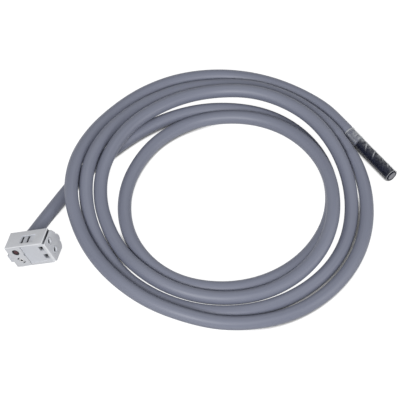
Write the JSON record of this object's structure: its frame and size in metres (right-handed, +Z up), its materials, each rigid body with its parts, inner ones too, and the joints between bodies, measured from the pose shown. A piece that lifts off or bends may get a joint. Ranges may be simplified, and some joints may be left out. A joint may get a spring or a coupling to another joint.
{
  "type": "NTC temperature sensor",
  "caption": "NTC temperature sensor with a light grey two-pole plug, a coiled grey round lead and a short black probe under a shrink sleeve.",
  "frame": {"origin": "middle of the plug and the probe together, on the floor", "axes": "+X from the plug towards the probe, +Z up from the floor"},
  "size_m": [0.1648, 0.1323, 0.0199],
  "materials": {
    "moulded_light_grey": "moulded",
    "sheath_grey": "extruded",
    "core_blue": "extruded",
    "core_brown": "extruded",
    "peg_dark_red": "moulded",
    "plug_white": "moulded",
    "tinned_brass": "tinned",
    "band_steel": "brushed",
    "smoky_sleeve": "shrunk",
    "capsule_black": "moulded",
    "potting_resin": "cast",
    "bead_coating": "dipped"
  },
  "bodies": {
    "root": {"plug_housing": "moulded_light_grey", "plug_cover": "moulded_light_grey", "coding_peg": "peg_dark_red", "test_plug": "plug_white", "cable": "sheath_grey", "cable_clamp": "band_steel", "contact_a": "tinned_brass", "contact_b": "tinned_brass", "plug_core_a": "core_blue", "plug_core_b": "core_brown", "shrink_sleeve": "smoky_sleeve", "sensor_capsule": "capsule_black", "potting_plug": "potting_resin", "thermistor_bead": "bead_coating", "thermistor_leg_a": "band_steel", "thermistor_leg_b": "band_steel", "splice_a": "tinned_brass", "splice_b": "tinned_brass", "probe_core_a": "core_blue", "probe_core_b": "core_brown"}
  },
  "joints": []
}
